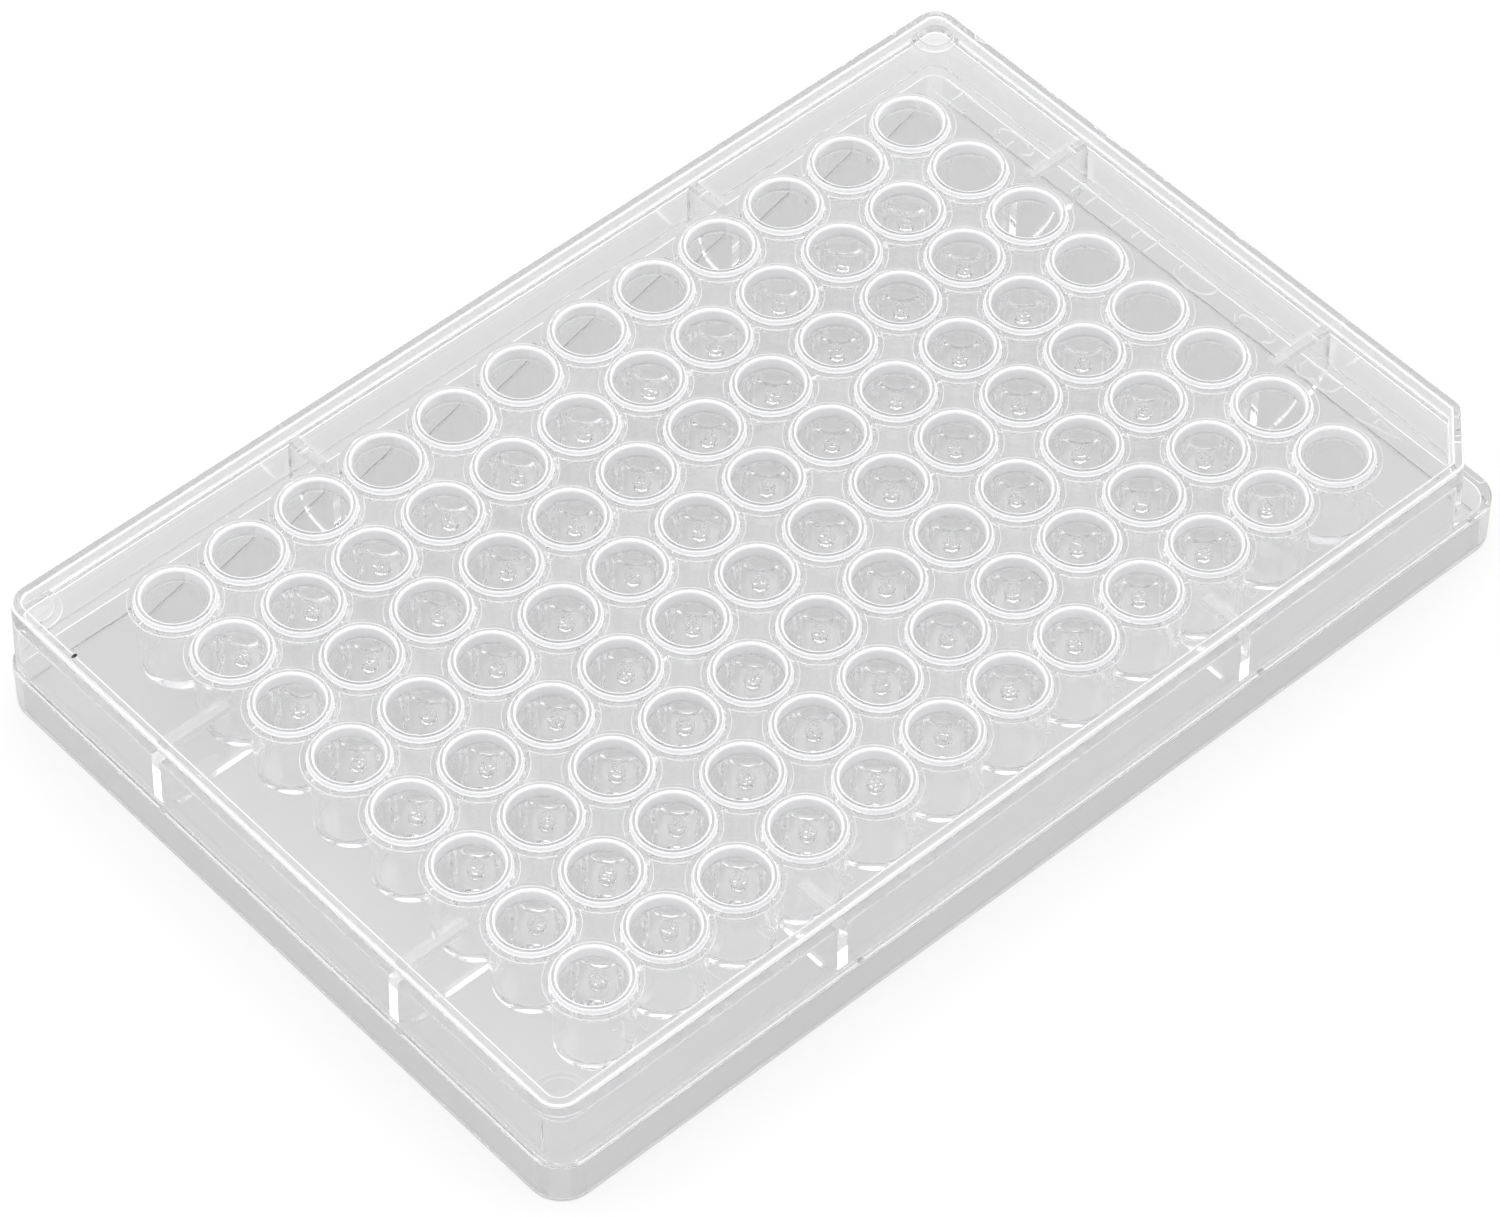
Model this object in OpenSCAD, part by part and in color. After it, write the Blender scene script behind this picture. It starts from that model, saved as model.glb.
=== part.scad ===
/* [Footprint] */
// Length of the base skirt, along X
base_l = 127.76; // [127:0.02:128.5]
// Width of the base skirt, along Y
base_w = 85.48; // [85:0.02:86]
// Height of the base skirt
skirt_h = 5.7; // [4.5:0.1:6.5]
// Thickness of the skirt's wall and of the narrow roof over it
skirt_t = 1; // [0.8:0.1:1.4]
// Corner radius of the skirt
skirt_r = 3.8; // [3.4:0.1:4.6]

/* [Upper frame] */
// How far the frame's foot stands in from the skirt's face
ledge = 0.5; // [0.4:0.05:0.8]
// How far the frame's top edge stands in from its foot
frame_lean = 0.25; // [0.1:0.01:1]
// Height of the frame's top edge above the table
frame_h = 14.5; // [14:0.1:16]
// Wall thickness of the frame
frame_t = 1.2; // [0.9:0.1:1.5]
// Corner radius of the frame at its top edge
frame_r = 2.6; // [2.2:0.1:3.2]
// Length cut off each side of the marked corner
chamfer = 6.5; // [5:0.1:9]

/* [Deck] */
// Height of the deck's top face above the table
deck_z = 12.9; // [12.2:0.1:13.2]
// Thickness of the deck
deck_t = 1.5; // [1:0.1:2]
// Radius of the round pads in three corners of the deck
pad_r = 2.8; // [2.4:0.1:3.4]
// Radius of the upper step of a corner pad
pad_step_r = 2; // [1.2:0.1:2.2]
// Height of each of the two steps of a corner pad
pad_step_h = 0.25; // [0.1:0.05:0.5]

/* [Wells] */
// Number of well columns along X
columns = 12; // [12:1:12]
// Number of well rows along Y
rows = 8; // [8:1:8]
// Distance between neighbouring well centres
pitch = 9; // [8.95:0.01:9.1]
// Height of the well rims above the table
rim_z = 13.6; // [13.3:0.1:14]
// Depth of a well below its rim
well_depth = 9.7; // [8.4:0.1:10.4]
// Inner radius of a well at its mouth
mouth_r = 3.43; // [3.2:0.01:3.5]
// Inner radius of a well at its flat bottom
floor_r = 3.25; // [3:0.01:3.4]
// Thickness of a well's bottom
floor_t = 1; // [0.7:0.1:1.3]
// Outer radius of a well's raised rim
rim_r = 4; // [3.8:0.01:4.1]
// Width and height of the bevels on a rim
rim_bevel = 0.2; // [0.05:0.01:0.25]
// Width and height of the slope at the foot of a rim
rim_foot = 0.4; // [0.1:0.05:0.45]

/* [Tubes under the deck] */
// Outer radius of a tube where it leaves the deck
tube_top_r = 4.25; // [4.15:0.01:4.35]
// Outer radius of a tube near its bottom
tube_end_r = 4.05; // [3.95:0.01:4.15]
// Width and height of the bevel round a tube's bottom
tube_bevel = 0.5; // [0.3:0.05:0.6]
// Width and height of the flare that joins a tube to the deck
flare = 0.2; // [0.1:0.05:0.4]

/* [Tie pads between the wells] */
// Radius of a tie pad
tie_r = 3.6; // [3.4:0.05:3.8]
// Thickness of a tie pad
tie_t = 1; // [0.7:0.1:1.4]
// Height of a tie pad's top face above the table
tie_z = 4.9; // [4.5:0.1:6.5]
// Radius of the raised number disc on a tie pad
disc_r = 1.15; // [0.9:0.05:1.4]
// Height of the raised number disc
disc_h = 0.25; // [0.1:0.05:0.4]

/* [Ribs] */
// Distance of each rib on the long sides from the middle
long_rib_x = 27; // [26.6:0.1:27.4]
// Distance of each rib on the short sides from the middle
short_rib_y = 18; // [17.6:0.1:18.4]
// Thickness of a rib
rib_t = 1.3; // [1:0.1:1.6]
// Height of a rib's lower edge above the table
rib_z = 3.4; // [2.8:0.1:4]
// Height at which the rib's lower edge meets the frame wall
rib_wall_z = 5.4; // [5:0.1:6]
// Length over which the rib's lower edge rises to the wall
rib_rise = 3; // [2:0.1:4]

/* [Hidden] */
$fn = 48;
eps = 0.02;
hull_sides = 32;
rise_steps = 6;
over = 1;
deck_under = deck_z - deck_t;
frame_rise = frame_h - skirt_h;
top_l = base_l - 2 * (ledge + frame_lean);
top_w = base_w - 2 * (ledge + frame_lean);
chamfer_r = frame_t + 0.3;
tube_z = rim_z - well_depth - floor_t;
grid_x = [for (i = [0 : columns - 1]) (i - (columns - 1) / 2) * pitch];
grid_y = [for (j = [0 : rows - 1]) (j - (rows - 1) / 2) * pitch];

// how far the frame wall has moved out at a height, measured from its top edge
function lean(z) = frame_lean * (frame_h - z) / frame_rise;

module rounded_slab(l, w, r, z0, z1) {
    translate([0, 0, z0])
        linear_extrude(z1 - z0)
            union() {
                square([l - 2 * r, w], center = true);
                square([l, w - 2 * r], center = true);
                for (x = [-1, 1], y = [-1, 1])
                    translate([x * (l / 2 - r), y * (w / 2 - r)])
                        circle(r);
            }
}

// one drafted corner post; its axis stays put while the radius follows the lean
module corner(x, y, r, inset, z0, z1) {
    translate([x, y, z0])
        cylinder(h = z1 - z0, r1 = r - inset + lean(z0), r2 = r - inset + lean(z1), $fn = hull_sides);
}

// the frame's outline with its one cut corner, drafted, moved in by inset
module frame_body(inset, z0, z1) {
    x = top_l / 2;
    y = top_w / 2;
    hull() {
        corner(frame_r - x, frame_r - y, frame_r, inset, z0, z1);
        corner(frame_r - x, y - frame_r, frame_r, inset, z0, z1);
        corner(x - frame_r, y - frame_r, frame_r, inset, z0, z1);
        corner(x - chamfer_r, chamfer - y, chamfer_r, inset, z0, z1);
        corner(x - chamfer, chamfer_r - y, chamfer_r, inset, z0, z1);
    }
}

// stepped round pads in the three corners that aren't cut
module corner_pads() {
    pad_x = top_l / 2 - 2.4;
    pad_y = top_w / 2 - 2.2;
    for (p = [[-pad_x, -pad_y], [-pad_x, pad_y], [pad_x, pad_y]])
        translate([p[0], p[1], deck_z - over]) {
            cylinder(h = over + pad_step_h, r = pad_r);
            cylinder(h = over + 2 * pad_step_h, r = pad_step_r);
        }
}

// skirt, frame and deck: the tray above, the open room below
module shell() {
    difference() {
        union() {
            rounded_slab(base_l, base_w, skirt_r, 0, skirt_h);
            frame_body(0, skirt_h - skirt_t / 2, frame_h);
        }
        rounded_slab(base_l - 2 * skirt_t, base_w - 2 * skirt_t, skirt_r - skirt_t, -over, skirt_h - skirt_t);
        frame_body(frame_t, skirt_h - skirt_t - over, deck_under);
        difference() {
            frame_body(frame_t, deck_z, frame_h + over);
            corner_pads();
        }
    }
}

// outer shape of one well: raised rim with a sloped foot, flare under the deck, bevelled bottom
module tube() {
    rotate_extrude()
        polygon([
            [0, tube_z],
            [tube_end_r - tube_bevel, tube_z],
            [tube_end_r, tube_z + tube_bevel],
            [tube_top_r, deck_under - flare],
            [tube_top_r + flare, deck_under + eps],
            [rim_r + rim_foot, deck_under + eps],
            [rim_r + rim_foot, deck_z],
            [rim_r, deck_z + rim_foot],
            [rim_r, rim_z - rim_bevel],
            [rim_r - rim_bevel, rim_z],
            [0, rim_z]
        ]);
}

// inner shape of one well, with its bevelled mouth
module bore() {
    rotate_extrude()
        polygon([
            [0, rim_z - well_depth],
            [floor_r, rim_z - well_depth],
            [mouth_r, rim_z - rim_bevel],
            [mouth_r + rim_bevel, rim_z],
            [mouth_r + rim_bevel, rim_z + over],
            [0, rim_z + over]
        ]);
}

// pad that ties four tubes together, with its raised number disc
module tie_pad() {
    translate([0, 0, tie_z - tie_t])
        cylinder(h = tie_t, r = tie_r);
    translate([0, 0, tie_z - tie_t])
        cylinder(h = tie_t + disc_h, r = disc_r);
}

// one rib, from the row of wells at x = 0 outwards to the wall at x = reach
module rib(reach) {
    rise = [for (k = [0 : rise_steps]) k / rise_steps];
    rotate([90, 0, 0])
        linear_extrude(rib_t, center = true)
            polygon(concat(
                [[0, deck_under + deck_t / 2], [0, rib_z]],
                [for (t = rise) [
                    reach - rib_rise + t * rib_rise,
                    rib_z + (rib_wall_z - rib_z) * (1 - cos(180 * t)) / 2
                ]],
                [[reach, deck_under + deck_t / 2]]
            ));
}

module ribs() {
    start = tube_end_r / 2;
    last_x = grid_x[columns - 1] + start;
    last_y = grid_y[rows - 1] + start;
    wall_x = top_l / 2 + lean(deck_z) - frame_t / 2;
    wall_y = top_w / 2 + lean(deck_z) - frame_t / 2;
    for (a = [0, 180], y = [-short_rib_y, short_rib_y])
        rotate([0, 0, a])
            translate([last_x, y, 0])
                rib(wall_x - last_x);
    for (a = [90, 270], x = [-long_rib_x, long_rib_x])
        rotate([0, 0, a])
            translate([last_y, x, 0])
                rib(wall_y - last_y);
}

module well_plate() {
    color([0.86, 0.87, 0.89, 0.45])
        difference() {
            union() {
                shell();
                for (x = grid_x, y = grid_y)
                    translate([x, y, 0])
                        tube();
                for (i = [0 : columns - 2], j = [0 : rows - 2])
                    translate([grid_x[i] + pitch / 2, grid_y[j] + pitch / 2, 0])
                        tie_pad();
                ribs();
            }
            for (x = grid_x, y = grid_y)
                translate([x, y, 0])
                    bore();
        }
}

well_plate();
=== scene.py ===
"""Clear well plate: the moulded body is rebuilt here from the part's own sizes, with the rounded edges,
the lettering and the cavity numbers that the solids leave out, in clear polystyrene on a pale floor."""
import math
import random
import bmesh
import bpy
from mathutils import Matrix, Vector

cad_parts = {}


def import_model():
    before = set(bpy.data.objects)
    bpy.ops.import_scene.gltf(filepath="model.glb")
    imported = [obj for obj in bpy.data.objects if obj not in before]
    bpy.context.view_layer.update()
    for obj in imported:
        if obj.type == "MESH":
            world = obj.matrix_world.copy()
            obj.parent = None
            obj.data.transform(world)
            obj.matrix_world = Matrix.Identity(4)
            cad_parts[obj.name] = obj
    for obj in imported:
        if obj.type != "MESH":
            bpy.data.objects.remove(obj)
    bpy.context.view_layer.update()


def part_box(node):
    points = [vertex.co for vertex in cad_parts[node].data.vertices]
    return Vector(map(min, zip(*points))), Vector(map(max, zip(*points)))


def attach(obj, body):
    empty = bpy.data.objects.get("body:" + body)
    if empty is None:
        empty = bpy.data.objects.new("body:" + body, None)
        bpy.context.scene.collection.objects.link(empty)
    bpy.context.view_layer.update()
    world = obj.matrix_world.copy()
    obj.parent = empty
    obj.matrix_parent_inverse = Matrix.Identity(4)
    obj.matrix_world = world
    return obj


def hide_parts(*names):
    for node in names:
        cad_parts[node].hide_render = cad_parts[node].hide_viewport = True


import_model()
scene = bpy.context.scene
MM = 0.001

# sizes in millimetres, as in the part, apart from the rim's radius and rounded edges, the collar round it,
# the flare and the height of the number discs
LOW, HIGH = (Vector(corner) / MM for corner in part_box("well_plate"))
BASE_L, BASE_W, FRAME_H = HIGH.x - LOW.x, HIGH.y - LOW.y, HIGH.z - LOW.z
SKIRT_H, SKIRT_T, SKIRT_R = 5.7, 1.0, 3.8
LEDGE, LEAN = 0.5, 0.25
FRAME_T, FRAME_R, CHAMFER, CHAMFER_R = 1.2, 2.6, 6.5, 1.5
DECK_Z, DECK_T = 12.9, 1.5
DECK_UNDER = DECK_Z - DECK_T
COLUMNS, ROWS, PITCH = 12, 8, 9.0
RIM_Z, WELL_DEPTH, FLOOR_T = 13.6, 9.7, 1.0
WELL_R, WELL_FLOOR_R, RIM_R = 3.43, 3.25, 4.14
MOUTH_LIP, RIM_LIP, RIM_FOOT = 0.34, 0.23, 0.14
COLLAR_R, COLLAR_H = 4.92, 0.14
TUBE_TOP_R, TUBE_END_R, TUBE_ROUND, FLARE = 4.25, 4.05, 0.5, 0.15
TIE_R, TIE_T, TIE_Z, DISC_R, DISC_H = 3.6, 1.0, 4.9, 1.15, 0.45
PAD_R, PAD_STEP_R, PAD_STEP_H = 2.8, 2.0, 0.25
RIB_X, RIB_Y, RIB_T, RIB_Z, RIB_WALL_Z, RIB_RISE = 27.0, 18.0, 1.3, 3.4, 5.4, 3.0
SKIRT_EDGE, FRAME_LIP, WALL_FOOT, ROOF_CORNER = 0.2, 0.3, 0.35, 0.25
TOP_L, TOP_W = BASE_L - 2 * (LEDGE + LEAN), BASE_W - 2 * (LEDGE + LEAN)
GRID_X = [(i - (COLUMNS - 1) / 2) * PITCH for i in range(COLUMNS)]
GRID_Y = [(j - (ROWS - 1) / 2) * PITCH for j in range(ROWS)]
GAPS = [(x + PITCH / 2, y + PITCH / 2) for x in GRID_X[:-1] for y in GRID_Y[:-1]]

# lettering in millimetres: width, height, gap between characters, line width
ROW_LETTER, COLUMN_NUMBER, CAVITY_NUMBER = (2.1, 4.9, 0, 0.6), (1.15, 2.0, 0.7, 0.32), (0.6, 1.15, 0.28, 0.19)
ROW_LETTER_X, COLUMN_NUMBER_Y, COLUMN_NUMBER_SHIFT = 56.1, -38.2, -1.0
LETTER_H, NUMBER_H, SUNK = 0.2, 0.18, 0.15
HIGHEST_CAVITY = 92
DOT, DOT_R = (26, -39), 0.45
SPECK_X, SPECK_Y = -62.1, 31.4

# sides of the round forms and points of a rounded corner
WELL_SIDES, TIE_SIDES, PAD_SIDES, DOT_SIDES, CORNER_STEPS = 30, 24, 48, 20, 12

# looks: share of white frost on edges as painted highlight, how much less on letters, faint haze on the frame
# walls as painted light, the skirt's grey as painted shade; floor and sky levels, with the floor's glow through
# or off the plate dimmer as painted shade
EDGE_PAINTED_HIGHLIGHT, LETTER_HIGHLIGHT_FADE, WALL_HAZE_PAINTED_LIGHT, SINK_MARK, SKIRT_PAINTED_SHADE = 0.95, 0.2, 0.08, 0.16, 0.88
FLOOR_LIT, CAMERA_GLOW, PAINTED_UNDER_GLOW, WORLD = 0.22, 0.72, 0.52, 1.3
BOUNCES = 48


# ---- mesh helpers -------------------------------------------------------------------------------
def mesh_object(name, bm):
    bmesh.ops.recalc_face_normals(bm, faces=bm.faces)
    mesh = bpy.data.meshes.new(name)
    bm.to_mesh(mesh)
    bm.free()
    obj = bpy.data.objects.new(name, mesh)
    scene.collection.objects.link(obj)
    return obj


def arc(cx, cz, r, a0, a1, steps):
    """Points of a circular arc, angles in degrees, both ends included."""
    angles = [math.radians(a0 + (a1 - a0) * k / steps) for k in range(steps + 1)]
    return [(cx + r * math.cos(a), cz + r * math.sin(a)) for a in angles]


def add_revolved(bm, profile, x, y, sides):
    """A closed solid of revolution about a vertical axis; the profile starts and ends on the axis."""
    rings = []
    for r, z in profile:
        if r < 1e-6:
            rings.append([bm.verts.new((x * MM, y * MM, z * MM))])
            continue
        angles = [2 * math.pi * k / sides for k in range(sides)]
        rings.append([bm.verts.new(((x + r * math.cos(a)) * MM, (y + r * math.sin(a)) * MM, z * MM))
                      for a in angles])
    for one, two in zip(rings, rings[1:]):
        if len(one) == 1:
            for k in range(sides):
                bm.faces.new((one[0], two[k], two[(k + 1) % sides]))
        elif len(two) == 1:
            for k in range(sides):
                bm.faces.new((one[k], two[0], one[(k + 1) % sides]))
        else:
            for k in range(sides):
                n = (k + 1) % sides
                bm.faces.new((one[k], two[k], two[n], one[n]))


def add_prism(bm, outline, low, high, place):
    """A flat outline (list of x, y) extruded between two heights and placed by a matrix."""
    bottom = [bm.verts.new(place @ Vector((x, y, low)) * MM) for x, y in outline]
    top = [bm.verts.new(place @ Vector((x, y, high)) * MM) for x, y in outline]
    bm.faces.new(bottom)
    bm.faces.new(top)
    count = len(outline)
    for k in range(count):
        n = (k + 1) % count
        bm.faces.new((bottom[k], bottom[n], top[n], top[k]))


def boolean(target, operation, parts):
    folder = bpy.data.collections.new("operands")
    scene.collection.children.link(folder)
    for part in parts:
        scene.collection.objects.unlink(part)
        folder.objects.link(part)
    modifier = target.modifiers.new(operation, "BOOLEAN")
    modifier.operation = operation
    modifier.operand_type = "COLLECTION"
    modifier.collection = folder
    modifier.solver = "MANIFOLD"
    bpy.context.view_layer.objects.active = target
    target.select_set(True)
    bpy.ops.object.modifier_apply(modifier=modifier.name)
    for part in parts:
        mesh = part.data
        bpy.data.objects.remove(part)
        bpy.data.meshes.remove(mesh)
    bpy.data.collections.remove(folder)


# ---- skirt, frame and deck: one profile carried round the plate --------------------------------------
def skirt_path(inset):
    x, y, r = BASE_L / 2 - inset, BASE_W / 2 - inset, SKIRT_R - inset
    path = []
    for sx, sy, a0 in ((1, -1, -90), (1, 1, 0), (-1, 1, 90), (-1, -1, 180)):
        path += arc(sx * (x - r), sy * (y - r), r, a0, a0 + 90, CORNER_STEPS - 1)
    return path


def frame_path(inset, z):
    lean = LEAN * (FRAME_H - z) / (FRAME_H - SKIRT_H)
    x, y = TOP_L / 2, TOP_W / 2
    r, c = FRAME_R + lean - inset, CHAMFER_R + lean - inset
    path = arc(x - CHAMFER, CHAMFER_R - y, c, -90, -45, CORNER_STEPS // 2 - 1)
    path += arc(x - CHAMFER_R, CHAMFER - y, c, -45, 0, CORNER_STEPS // 2 - 1)
    for sx, sy, a0 in ((1, 1, 0), (-1, 1, 90), (-1, -1, 180)):
        path += arc(sx * (x - FRAME_R), sy * (y - FRAME_R), r, a0, a0 + 90, CORNER_STEPS - 1)
    return path


def shell_loops():
    """Loops of points from the deck's top face, over the frame and the skirt, to the deck's underside."""
    loops = []

    def frame_points(points):
        loops.extend([(x, y, z) for x, y in frame_path(inset, z)] for inset, z in points)

    def skirt_points(points):
        loops.extend([(x, y, z) for x, y in skirt_path(inset)] for inset, z in points)

    foot, lip, edge, corner = WALL_FOOT, FRAME_LIP, SKIRT_EDGE, ROOF_CORNER
    frame_points(arc(FRAME_T + foot, DECK_Z + foot, foot, 270, 180, 3))
    frame_points(arc(FRAME_T - lip, FRAME_H - lip, lip, 0, 90, 3))
    frame_points(arc(lip, FRAME_H - lip, lip, 90, 180, 3))
    frame_points([(0, SKIRT_H + 0.15), (-0.04, SKIRT_H + 0.04)])
    skirt_points(arc(edge, SKIRT_H - edge, edge, 90, 180, 3))
    skirt_points(arc(edge, edge, edge, 180, 270, 3))
    skirt_points(arc(SKIRT_T - edge, edge, edge, 270, 360, 3))
    roof = SKIRT_H - SKIRT_T
    skirt_points(arc(SKIRT_T + corner, roof - corner, corner, 180, 90, 3))
    frame_points([(FRAME_T - 0.05, roof), (FRAME_T, roof + 0.15)])
    frame_points(arc(FRAME_T + foot, DECK_UNDER - foot, foot, 180, 90, 3))
    return loops


def shell():
    bm = bmesh.new()
    rings = [[bm.verts.new(Vector(p) * MM) for p in loop] for loop in shell_loops()]
    count = len(rings[0])
    for one, two in zip(rings, rings[1:]):
        for k in range(count):
            n = (k + 1) % count
            bm.faces.new((one[k], two[k], two[n], one[n]))
    bm.faces.new(rings[0])
    bm.faces.new(rings[-1])
    return mesh_object("plate", bm)


# ---- wells, tie pads, ribs, corner pads ----------------------------------------------------------------
def tube_profile():
    bottom = RIM_Z - WELL_DEPTH - FLOOR_T
    points = [(0, bottom)]
    points += arc(TUBE_END_R - TUBE_ROUND, bottom + TUBE_ROUND, TUBE_ROUND, 270, 360, 2)
    points += arc(TUBE_TOP_R + FLARE, DECK_UNDER - FLARE, FLARE, 180, 90, 1)
    points += [(TUBE_TOP_R + FLARE, DECK_UNDER + 0.3), (COLLAR_R, DECK_UNDER + 0.3), (COLLAR_R, DECK_Z)]
    step = DECK_Z + COLLAR_H
    points += arc(COLLAR_R - COLLAR_H, DECK_Z, COLLAR_H, 0, 90, 2)[1:]
    points += arc(RIM_R + RIM_FOOT, step + RIM_FOOT, RIM_FOOT, 270, 190, 1)
    points += arc(RIM_R - RIM_LIP, RIM_Z - RIM_LIP, RIM_LIP, 0, 90, 2)
    points += [(0, RIM_Z)]
    return points


def bore_profile():
    floor, fillet = RIM_Z - WELL_DEPTH, 0.3
    points = [(0, floor)]
    points += arc(WELL_FLOOR_R - fillet, floor + fillet, fillet, 270, 360, 1)
    points += arc(WELL_R + MOUTH_LIP, RIM_Z - MOUTH_LIP, MOUTH_LIP, 180, 90, 3)
    points += [(WELL_R + MOUTH_LIP, RIM_Z + 1), (0, RIM_Z + 1)]
    return points


def tubes():
    """Four operands, so that the flares of neighbours never meet inside one of them."""
    made = []
    for parity in range(4):
        bm = bmesh.new()
        for i, x in enumerate(GRID_X):
            for j, y in enumerate(GRID_Y):
                if i % 2 + 2 * (j % 2) == parity:
                    add_revolved(bm, tube_profile(), x, y, WELL_SIDES)
        made.append(mesh_object(f"tubes_{parity}", bm))
    return made


def bores():
    bm = bmesh.new()
    for x in GRID_X:
        for y in GRID_Y:
            add_revolved(bm, bore_profile(), x, y, WELL_SIDES)
    return mesh_object("bores", bm)


def round_stack(name, spots, r, low, high, round_r, sides):
    """Plain round pads with a rounded top edge, at a list of x, y."""
    profile = [(0, low), (r, low)] + arc(r - round_r, high - round_r, round_r, 0, 90, 2) + [(0, high)]
    bm = bmesh.new()
    for x, y in spots:
        add_revolved(bm, profile, x, y, sides)
    return mesh_object(name, bm)


def ribs():
    steps = 8
    top = DECK_UNDER + DECK_T / 2

    def rib(bm, reach, place):
        rise = [(reach - RIB_RISE + RIB_RISE * k / steps,
                 RIB_Z + (RIB_WALL_Z - RIB_Z) * (1 - math.cos(math.pi * k / steps)) / 2)
                for k in range(steps + 1)]
        add_prism(bm, [(0, top), (0, RIB_Z)] + rise + [(reach, top)], -RIB_T / 2, RIB_T / 2,
                  place @ Matrix.Rotation(math.pi / 2, 4, "X"))

    bm = bmesh.new()
    lean = LEAN * (FRAME_H - DECK_Z) / (FRAME_H - SKIRT_H)
    for angle, row_end, wall, places in (
            (0, GRID_X[-1], TOP_L / 2 + lean - FRAME_T / 2, (-RIB_Y, RIB_Y)),
            (90, GRID_Y[-1], TOP_W / 2 + lean - FRAME_T / 2, (-RIB_X, RIB_X))):
        start = row_end + TUBE_END_R / 2
        for turn in (0, 180):
            for across in places:
                place = Matrix.Rotation(math.radians(angle + turn), 4, "Z")
                rib(bm, wall - start, place @ Matrix.Translation((start, across, 0)))
    return mesh_object("ribs", bm)


def corner_pads():
    """Two round steps in each corner that isn't cut, trimmed where the frame's wall stands."""
    pad_x, pad_y = TOP_L / 2 - 2.4, TOP_W / 2 - 2.2
    corners = [(-pad_x, -pad_y), (-pad_x, pad_y), (pad_x, pad_y)]
    low, made = DECK_Z - 0.6, []
    for r, high in ((PAD_R, DECK_Z + PAD_STEP_H), (PAD_STEP_R, DECK_Z + 2 * PAD_STEP_H)):
        pad = round_stack("pads", corners, r, low, high, 0.08, PAD_SIDES)
        bm = bmesh.new()
        add_prism(bm, frame_path(FRAME_T / 2, low), low - 1, high + 1, Matrix())
        boolean(pad, "INTERSECT", [mesh_object("trim", bm)])
        made.append(pad)
    return made


# ---- raised lettering: strokes in a box one wide and one high --------------------------------------
def bow(cx, cy, rx, ry, a0, a1, steps=10):
    return [(cx + rx * x, cy + ry * y) for x, y in arc(0, 0, 1, a0, a1, steps)]


STEM = [(0, 0), (0, 1)]
LOOP = 1  # marks a closed stroke
GLYPHS = {
    "A": [[(0, 0), (0.5, 1), (1, 0)], [(0.17, 0.34), (0.83, 0.34)]],
    "B": [STEM, [(0, 1), *bow(0.5, 0.76, 0.4, 0.24, 90, -90), (0, 0.52)],
          [(0, 0.5), *bow(0.55, 0.25, 0.45, 0.25, 90, -90), (0, 0)]],
    "C": [bow(0.5, 0.5, 0.5, 0.5, 45, 315, 14)],
    "D": [STEM, [(0, 1), *bow(0.4, 0.5, 0.6, 0.5, 90, -90), (0, 0)]],
    "E": [[(1, 1), (0, 1), (0, 0), (1, 0)], [(0, 0.52), (0.8, 0.52)]],
    "F": [[(1, 1), (0, 1), (0, 0)], [(0, 0.52), (0.8, 0.52)]],
    "G": [bow(0.5, 0.5, 0.5, 0.5, 45, 315, 14), [(0.5, 0.45), (1, 0.45), (0.97, 0.12)]],
    "H": [STEM, [(1, 0), (1, 1)], [(0, 0.5), (1, 0.5)]],
    "0": [bow(0.5, 0.5, 0.5, 0.5, 0, 342, 19) + [LOOP]],
    "1": [[(0.15, 0.76), (0.55, 1), (0.55, 0)]],
    "2": [bow(0.5, 0.72, 0.48, 0.28, 165, -30) + [(0, 0), (1, 0)]],
    "3": [bow(0.45, 0.76, 0.43, 0.24, 150, -90), bow(0.45, 0.27, 0.52, 0.27, 90, -150)],
    "4": [[(0.72, 0), (0.72, 1), (0, 0.3)], [(0, 0.3), (1, 0.3)]],
    "5": [[(0.9, 1), (0.15, 1), (0.08, 0.58), *bow(0.46, 0.33, 0.5, 0.33, 110, -150)]],
    "6": [[(0.8, 1), (0.3, 0.78), (0.03, 0.35)], bow(0.5, 0.3, 0.48, 0.3, 0, 340, 17) + [LOOP]],
    "7": [[(0, 1), (1, 1), (0.35, 0)]],
    "8": [bow(0.5, 0.76, 0.4, 0.24, 0, 340, 17) + [LOOP], bow(0.5, 0.27, 0.5, 0.27, 0, 340, 17) + [LOOP]],
    "9": [bow(0.5, 0.7, 0.48, 0.3, 0, 340, 17) + [LOOP], [(0.97, 0.65), (0.7, 0.22), (0.2, 0)]],
}


def add_stroke(bm, points, closed, foot, top, low, high, place):
    """A raised line with sloped sides, mitred at its corners."""
    rings, count = [], len(points)
    for k, point in enumerate(points):
        here = Vector(point)
        before = Vector(points[k - 1]) if closed or k else None
        after = Vector(points[(k + 1) % count]) if closed or k < count - 1 else None
        pairs = [(a, b) for a, b in ((before, here), (here, after)) if a is not None and b is not None]
        steps = [(b - a).normalized() for a, b in pairs]
        sides = [Vector((-step.y, step.x)) for step in steps]
        side = sum(sides, Vector((0, 0))).normalized()
        side /= max(0.55, side.dot(sides[0]))
        rings.append([bm.verts.new(place @ Vector((*(here + side * w / 2), z)) * MM)
                      for w, z in ((-foot, low), (-top, high), (top, high), (foot, low))])
    for k in range(count if closed else count - 1):
        one, two = rings[k], rings[(k + 1) % count]
        for a in range(4):
            b = (a + 1) % 4
            bm.faces.new((one[a], one[b], two[b], two[a]))
    if not closed:
        bm.faces.new(rings[0])
        bm.faces.new(rings[-1])


def write(bms, text, style, low, high, place):
    """Text centred on the placed origin; overlapping strokes of a letter go to different meshes."""
    wide, tall, gap, line = style
    start = -(len(text) * wide + (len(text) - 1) * gap) / 2
    for n, letter in enumerate(text):
        left = start + n * (wide + gap)
        for bm, stroke in zip(bms, GLYPHS[letter]):
            closed = stroke[-1] == LOOP
            points = [(left + x * wide, (y - 0.5) * tall) for x, y in (stroke[:-1] if closed else stroke)]
            add_stroke(bm, points, closed, line * 1.25, line * 0.7, low, high, place)


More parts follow.
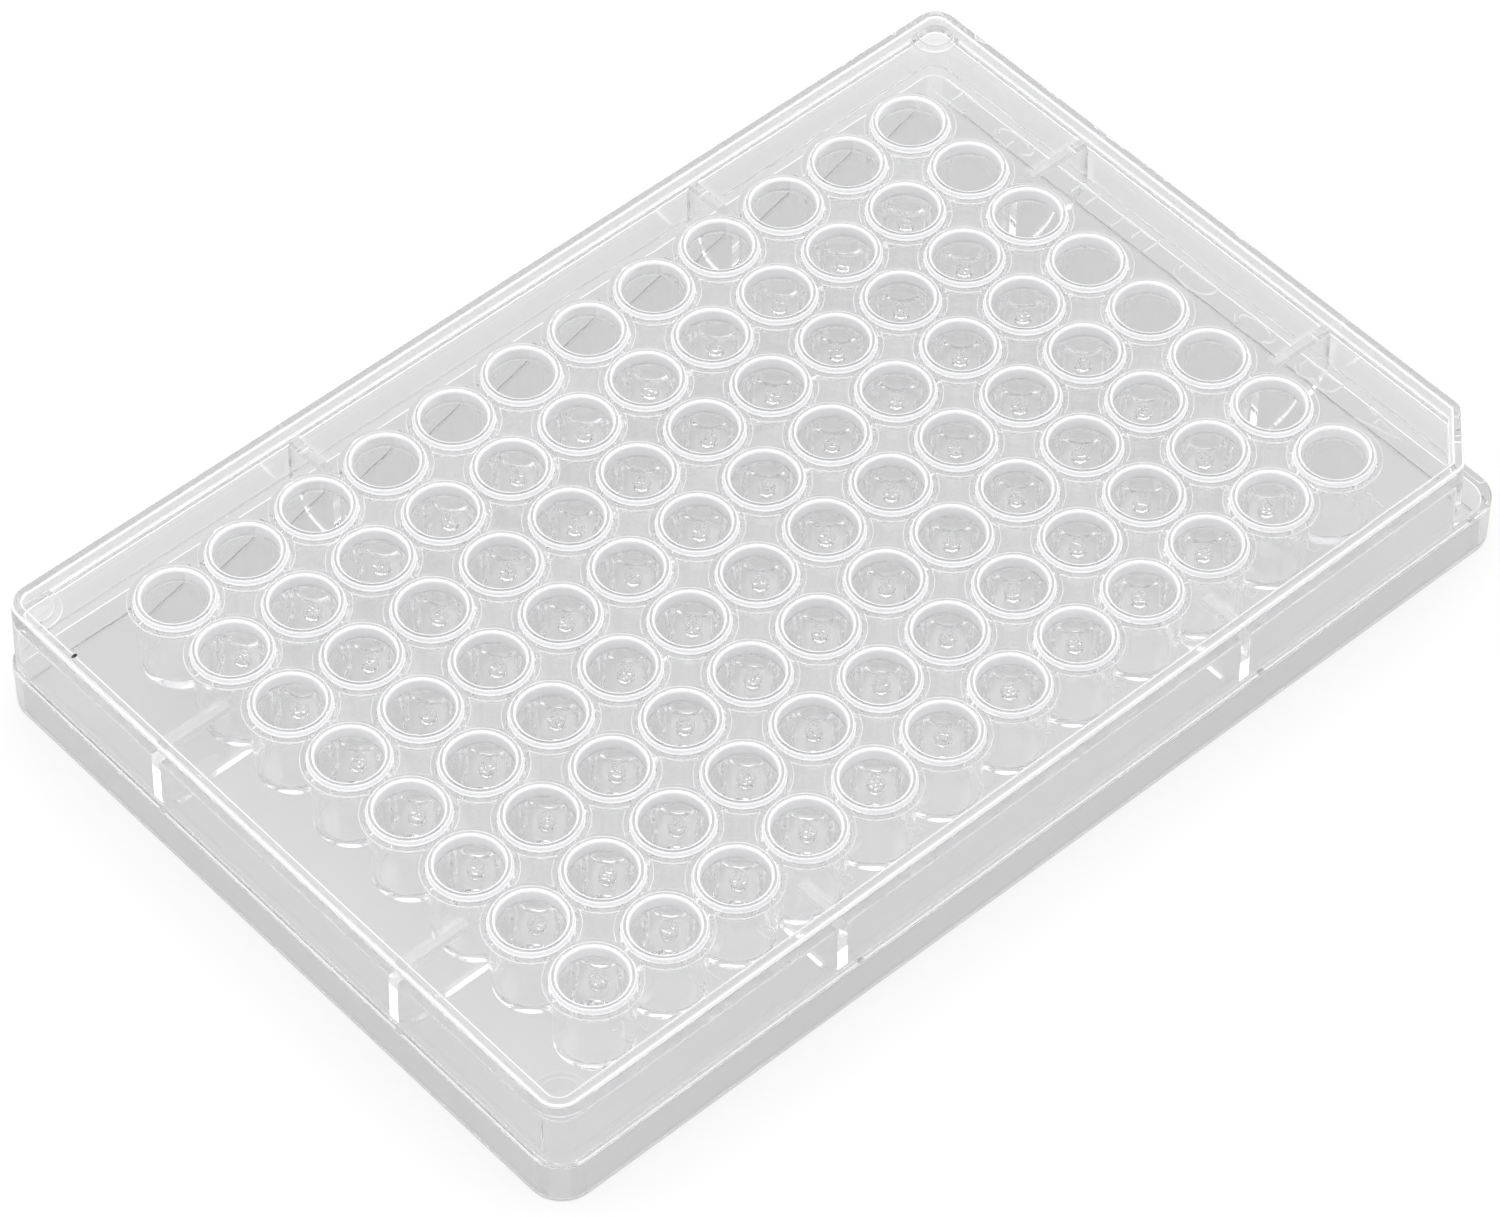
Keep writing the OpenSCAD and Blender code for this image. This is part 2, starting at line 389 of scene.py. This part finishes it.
def lettering():
    """Row letters, column numbers and the cavity numbers on the discs between the wells."""
    bms = [bmesh.new() for _ in range(3)]
    upside = Matrix.Rotation(math.pi, 4, "Z")
    for letter, y in zip("ABCDEFGH", GRID_Y):
        write(bms, letter, ROW_LETTER, DECK_Z - SUNK, DECK_Z + LETTER_H,
              Matrix.Translation((ROW_LETTER_X, y, 0)) @ upside)
    for number, x in enumerate(reversed(GRID_X), 1):
        write(bms, str(number), COLUMN_NUMBER, DECK_Z - SUNK, DECK_Z + NUMBER_H,
              Matrix.Translation((x + COLUMN_NUMBER_SHIFT, COLUMN_NUMBER_Y, 0)) @ upside)
    turns = random.Random(11)
    top = TIE_Z + DISC_H
    for row in range(ROWS - 1):
        for column in range(COLUMNS - 1):
            number = HIGHEST_CAVITY - column - (COLUMNS - 1) * row
            place = Matrix.Translation((GRID_X[column] + PITCH / 2, GRID_Y[row] + PITCH / 2, 0))
            place @= Matrix.Rotation(turns.uniform(0, 2 * math.pi), 4, "Z")
            write(bms, str(number), CAVITY_NUMBER, top - 0.1, top + 0.2, place)
    return [mesh_object("lettering", bm) for bm in bms]


def nubs():
    """Small tabs on the skirt's top edge, beside the ribs and by the near corner."""
    bm = bmesh.new()
    near, side = -BASE_W / 2 + 0.15, -BASE_L / 2 + 0.15
    for x, y, turn in ((RIB_X + 1.6, near, 0), (-RIB_X + 1.6, near, 0), (62.5 - SKIRT_R, near, 0),
                       (side, -RIB_Y - 1.6, -90), (side, RIB_Y - 1.6, -90)):
        place = Matrix.Translation((x, y, SKIRT_H - 0.22)) @ Matrix.Rotation(math.radians(turn), 4, "Z")
        add_prism(bm, [(-0.38, -0.14), (0.38, -0.14), (0.3, 0.3), (-0.3, 0.3)], -0.2, 0.32, place)
    return mesh_object("nubs", bm)


def build_plate():
    plate = shell()
    parts = tubes() + corner_pads() + [
        round_stack("ties", GAPS, TIE_R, TIE_Z - TIE_T, TIE_Z, 0.1, TIE_SIDES),
        ribs(),
        nubs(),
        round_stack("dot", [DOT], DOT_R, DECK_Z - 0.3, DECK_Z + 0.12, 0.08, DOT_SIDES)]
    boolean(plate, "UNION", parts)
    boolean(plate, "UNION", [round_stack("discs", GAPS, DISC_R, TIE_Z - 0.5, TIE_Z + DISC_H, 0.12, TIE_SIDES)])
    boolean(plate, "UNION", lettering())
    boolean(plate, "DIFFERENCE", [bores()])
    return plate


plate = build_plate()
mesh = plate.data
for polygon in mesh.polygons:
    polygon.use_smooth = True
mesh.set_sharp_from_angle(angle=math.radians(40))
weighted = plate.modifiers.new("flat faces stay flat", "WEIGHTED_NORMAL")
weighted.keep_sharp = True
bpy.ops.object.modifier_apply(modifier=weighted.name)
print("plate triangles", sum(len(p.vertices) - 2 for p in mesh.polygons))


# ---- materials -------------------------------------------------------------------------------------------
class Nodes:
    """Short calls for making and joining shader nodes."""

    def __init__(self, name):
        self.material = bpy.data.materials.new(name)
        self.material.use_nodes = True
        self.tree = self.material.node_tree
        self.tree.nodes.clear()

    def add(self, kind, **inputs):
        node = self.tree.nodes.new("ShaderNode" + kind)
        for key, value in inputs.items():
            if key in node.inputs.keys() or not hasattr(node, key):
                self.set(node.inputs[key.replace("_", " ")], value)
            else:
                setattr(node, key, value)
        return node

    def set(self, socket, value):
        if isinstance(value, bpy.types.NodeSocket):
            self.tree.links.new(value, socket)
        else:
            socket.default_value = value

    def ramp(self, value, low, high, out_low=0.0, out_high=1.0):
        node = self.add("MapRange", interpolation_type="SMOOTHSTEP")
        for socket, item in zip(node.inputs, (value, low, high, out_low, out_high)):
            self.set(socket, item)
        return node.outputs[0]

    def calc(self, operation, one, two=0.0):
        node = self.add("Math", operation=operation)
        self.set(node.inputs[0], one)
        self.set(node.inputs[1], two)
        return node.outputs[0]

    def join(self, kind, one, two):
        """A Mix or Add shader of two shader nodes; its factor, if it has one, is set by the caller."""
        node = self.add(kind)
        self.set(node.inputs[-2], one.outputs[0])
        self.set(node.inputs[-1], two.outputs[0])
        return node

    def finish(self, shader):
        self.add("OutputMaterial", Surface=shader.outputs[0])
        return self.material


def clear_plastic():
    """Polished clear polystyrene. The rounded edges above the deck and on the skirt carry a little white frost,
    a painted highlight; the frame's drafted walls carry a faint haze, painted light, and a pale sink mark lies
    over each rib, as on a moulding; the skirt is a little greyer, painted shade, faint flow ripples bend the
    light and a light bloom comes and goes."""
    n = Nodes("clear_polystyrene")
    coords = n.add("TexCoord")
    facing = n.add("SeparateXYZ", Vector=coords.outputs["Normal"]).outputs["Z"]
    place = n.add("SeparateXYZ", Vector=coords.outputs["Object"])
    height = place.outputs["Z"]

    def beyond(inset):
        """1 outside a line drawn this far inside the base's outline."""
        sides = []
        for axis, reach in (("X", BASE_L / 2 - inset), ("Y", BASE_W / 2 - inset)):
            away = n.calc("ABSOLUTE", place.outputs[axis])
            sides.append(n.ramp(away, (reach - 0.1) * MM, (reach + 0.1) * MM))
        return n.calc("MAXIMUM", *sides)

    def times(*values):
        result = values[0]
        for value in values[1:]:
            result = n.calc("MULTIPLY", result, value)
        return result

    tilted = n.ramp(facing, 0.93, 0.985, 1, 0)
    raised = n.ramp(height, (DECK_Z - 0.3) * MM, (DECK_Z - 0.1) * MM)
    slopes = times(tilted, n.ramp(facing, 0.06, 0.2), n.calc("MAXIMUM", raised, beyond(0.25)))
    mouths = n.ramp(height, (DECK_UNDER + 0.1) * MM, (DECK_UNDER + 1.0) * MM)
    reliefs = times(tilted, mouths, n.calc("SUBTRACT", 1.0, beyond(2.6)))
    letters = times(beyond(9.2), n.calc("SUBTRACT", 1.0, beyond(2.8)),
                    n.ramp(height, (DECK_Z + 0.25) * MM, (DECK_Z + 0.35) * MM, LETTER_HIGHLIGHT_FADE, 0))
    # the frost on the rounded edges is a painted highlight, weaker on the letters
    edge = times(n.calc("MAXIMUM", slopes, reliefs), n.calc("SUBTRACT", EDGE_PAINTED_HIGHLIGHT, letters))
    steep = n.ramp(n.calc("ABSOLUTE", facing), 0.05, 0.15, 1, 0)
    # faint white haze on the frame's steep walls: painted light that lightens them
    wall = times(steep, n.ramp(height, (SKIRT_H + 0.2) * MM, (SKIRT_H + 0.5) * MM), beyond(2.4), WALL_HAZE_PAINTED_LIGHT)
    flat_top = times(n.ramp(facing, 0.97, 0.99), n.ramp(height, (DECK_Z - 0.1) * MM, (DECK_Z - 0.05) * MM),
                     n.ramp(height, (DECK_Z + 0.03) * MM, (DECK_Z + 0.08) * MM, 1, 0))

    def over_ribs(along, last, across, centre):
        """1 over the ribs that run along one axis, between the last row of tubes and the frame."""
        off = n.calc("ABSOLUTE", n.calc("SUBTRACT", n.calc("ABSOLUTE", place.outputs[across]), centre * MM))
        out = n.calc("ABSOLUTE", place.outputs[along])
        return times(n.ramp(off, (RIB_T / 2 - 0.1) * MM, (RIB_T / 2 + 0.1) * MM, 1, 0),
                     n.ramp(out, (last + 4.2) * MM, (last + 4.6) * MM))

    all_ribs = n.calc("MAXIMUM", over_ribs("X", GRID_X[-1], "Y", RIB_Y), over_ribs("Y", GRID_Y[-1], "X", RIB_X))
    sinks = times(all_ribs, flat_top, SINK_MARK)
    # painted shade: the skirt's faces get a greyer base colour
    skirt = times(n.ramp(height, (SKIRT_H - 0.3) * MM, SKIRT_H * MM, 1, 0), beyond(1.3))
    base_colour_and_skirt_shade = n.add("Mix", data_type="RGBA")
    n.set(base_colour_and_skirt_shade.inputs[0], skirt)
    n.set(base_colour_and_skirt_shade.inputs[6], (0.997, 0.997, 0.9995, 1))
    n.set(base_colour_and_skirt_shade.inputs[7], (SKIRT_PAINTED_SHADE, SKIRT_PAINTED_SHADE, SKIRT_PAINTED_SHADE + 0.003, 1))
    ripple = n.add("TexNoise", Vector=coords.outputs["Object"], Scale=140.0, Detail=2.0)
    bump = n.add("Bump", Height=ripple.outputs[0], Strength=0.12, Distance=0.0003)
    bloom = n.add("TexNoise", Vector=coords.outputs["Object"], Scale=60.0, Detail=4.0)
    clear = n.add("BsdfPrincipled", Base_Color=base_colour_and_skirt_shade.outputs[2], Transmission_Weight=1.0, IOR=1.59,
                  Roughness=n.ramp(bloom.outputs[0], 0.5, 0.75, 0.0, 0.035), Normal=bump.outputs[0])
    # white frost: painted highlight on the edges, painted light on the frame walls, and the pale sink marks
    frost_and_painted_light = n.join("MixShader", n.add("BsdfDiffuse", Color=(0.97, 0.97, 0.98, 1)),
                   n.add("BsdfTranslucent", Color=(0.97, 0.97, 0.98, 1)))
    n.set(frost_and_painted_light.inputs[0], 0.25)
    surface = n.join("MixShader", clear, frost_and_painted_light)
    n.set(surface.inputs[0], n.calc("MAXIMUM", n.calc("MAXIMUM", edge, wall), sinks))
    return n.finish(surface)


plate.data.materials.clear()
plate.data.materials.append(clear_plastic())
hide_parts("well_plate")
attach(plate, "root")


# ---- dark speck stuck to the frame's edge ------------------------------------------------------------------
def speck():
    bm = bmesh.new()
    outline = [(-0.34, -0.13), (-0.07, -0.22), (0.24, -0.15), (0.34, 0.04), (0.13, 0.2), (-0.17, 0.16),
               (-0.36, 0.03)]
    add_prism(bm, outline, 0, 0.05, Matrix.Translation((SPECK_X, SPECK_Y, FRAME_H - 0.06)))
    obj = mesh_object("speck", bm)
    n = Nodes("dark_speck")
    coords = n.add("TexCoord")
    grain = n.add("TexNoise", Vector=coords.outputs["Object"], Scale=4000.0, Detail=3.0)
    dark = n.add("BsdfPrincipled", Base_Color=(0.012, 0.012, 0.014, 1),
                 Roughness=n.ramp(grain.outputs[0], 0.3, 0.7, 0.5, 0.9))
    obj.data.materials.append(n.finish(dark))
    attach(obj, "root")


speck()


# ---- floor, light, camera ----------------------------------------------------------------------------------
def floor():
    """Plain pale floor that keeps the shadow. Its glow is seen by the camera and by rays that come through
    or off the plate, and lights nothing else; the glow those rays see is dimmer, painted shade under the plate."""
    bm = bmesh.new()
    size = 3.0
    bm.faces.new([bm.verts.new((x * size, y * size, 0)) for x, y in ((-1, -1), (1, -1), (1, 1), (-1, 1))])
    obj = mesh_object("floor", bm)
    n = Nodes("pale_floor")
    rays = n.add("LightPath").outputs
    # painted light and shade: rays through or off the plate see a fixed glow, dimmer than the camera's, for the
    # floor under the plate
    painted_under = n.calc("MULTIPLY", n.calc("MAXIMUM", rays["Is Transmission Ray"], rays["Is Glossy Ray"]), PAINTED_UNDER_GLOW)
    level = n.calc("ADD", n.calc("MULTIPLY", rays["Is Camera Ray"], CAMERA_GLOW), painted_under)
    lit = n.add("BsdfDiffuse", Color=(FLOOR_LIT, FLOOR_LIT, FLOOR_LIT, 1))
    glow = n.add("Emission", Color=(1, 1, 1, 1), Strength=level)
    obj.data.materials.append(n.finish(n.join("AddShader", lit, glow)))


def softbox(name, azimuth, elevation, distance, size, radiance):
    """A square lamp facing the plate; its power is set from the radiance that a reflection shows."""
    data = bpy.data.lights.new(name, "AREA")
    data.shape, data.size = "SQUARE", size
    data.energy = radiance * math.pi * size * size
    obj = bpy.data.objects.new(name, data)
    a, e = math.radians(azimuth), math.radians(elevation)
    away = Vector((math.cos(a) * math.cos(e), math.sin(a) * math.cos(e), math.sin(e)))
    obj.matrix_world = Matrix.Translation(away * distance) @ away.to_track_quat("Z", "Y").to_matrix().to_4x4()
    scene.collection.objects.link(obj)


def camera():
    """The photograph's viewpoint, from the fit to the 96 well rims."""
    right = Vector((0.74466815, -0.6674327, 0.00171365))
    down = Vector((-0.50724725, -0.56761099, -0.64847359))
    ahead = Vector((0.43378516, 0.48202839, -0.76123523))
    data = bpy.data.cameras.new("camera")
    data.lens, data.sensor_width, data.clip_end = 152.96, 36, 10
    obj = bpy.data.objects.new("camera", data)
    turn = Matrix((right, -down, -ahead)).transposed().to_4x4()
    obj.matrix_world = Matrix.Translation(Vector((-281.03, -310.69, 492.29)) * MM) @ turn
    scene.collection.objects.link(obj)
    scene.camera = obj


def world():
    light = bpy.data.worlds.new("world")
    light.use_nodes = True
    background = light.node_tree.nodes["Background"]
    background.inputs["Color"].default_value = (1, 1, 1, 1)
    background.inputs["Strength"].default_value = WORLD
    scene.world = light


floor()
camera()
world()
softbox("overhead_softbox", 0, 90, 1.1, 1.5, 0.6)
scene.cycles.max_bounces = BOUNCES
scene.cycles.transmission_bounces = BOUNCES
scene.cycles.glossy_bounces = BOUNCES
scene.cycles.caustics_refractive = True
scene.cycles.caustics_reflective = True
scene.view_settings.view_transform = "Standard"
